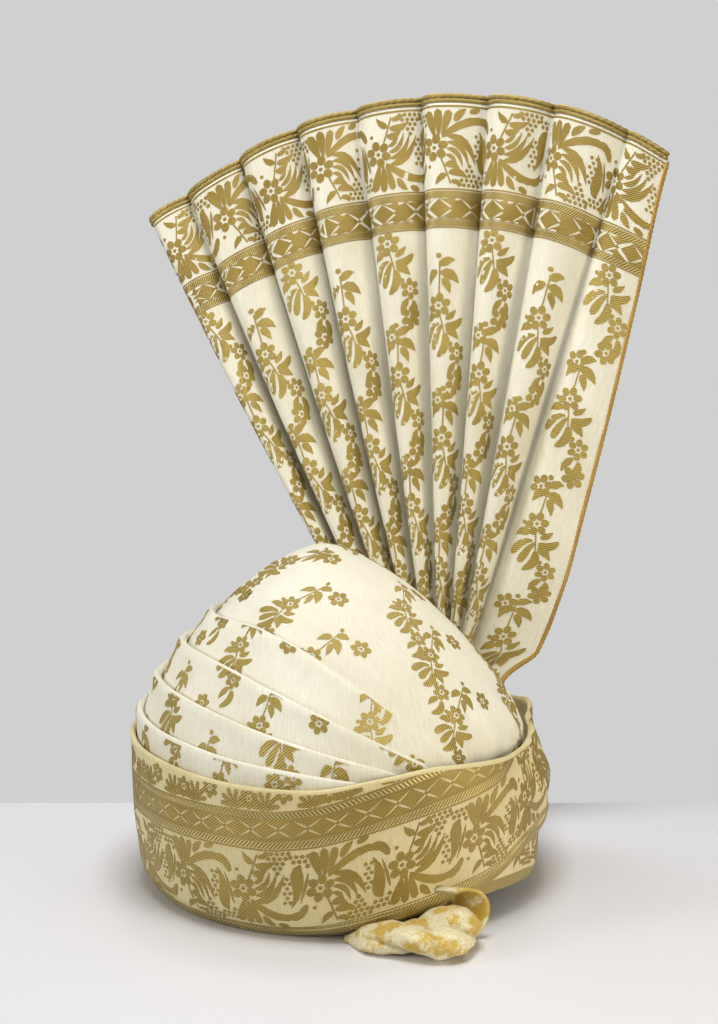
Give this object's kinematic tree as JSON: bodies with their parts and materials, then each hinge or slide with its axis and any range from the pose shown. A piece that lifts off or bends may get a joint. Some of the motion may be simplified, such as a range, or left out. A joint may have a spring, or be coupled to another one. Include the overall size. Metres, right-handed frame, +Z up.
{
  "type": "turban",
  "caption": "Tied brocade turban that rests on its rim: a pointed crown hollow for the head, diagonal wraps, a broad border turn, a pleated fan at the rear and a twisted tail.",
  "frame": {"origin": "on the surface it rests on, under the middle of the whole part's box", "axes": "+Z up, -Y towards the front, where the wraps cross, +X towards the wearer's left"},
  "size_m": [0.3424, 0.2926, 0.484],
  "materials": {
    "crown": "cream silk brocade with small gold sprigs",
    "wrap_turn_1": "cream silk brocade with small gold sprigs",
    "wrap_turn_2": "cream silk brocade with small gold sprigs",
    "wrap_turn_3": "cream silk brocade with small gold sprigs",
    "wrap_turn_4": "cream silk brocade with small gold sprigs",
    "border_turn": "dense gold brocade border on cream silk",
    "fan_pleats": "pleated cream silk with gold sprigs and a gold border",
    "fan_edging": "twisted gold cord edging",
    "tail_twist": "twisted cream and gold silk"
  },
  "bodies": {
    "root": {"crown": "crown", "wrap_turn_1": "wrap_turn_1", "wrap_turn_2": "wrap_turn_2", "wrap_turn_3": "wrap_turn_3", "wrap_turn_4": "wrap_turn_4", "border_turn": "border_turn", "fan_pleats": "fan_pleats", "fan_edging": "fan_edging", "tail_twist": "tail_twist"}
  },
  "joints": []
}
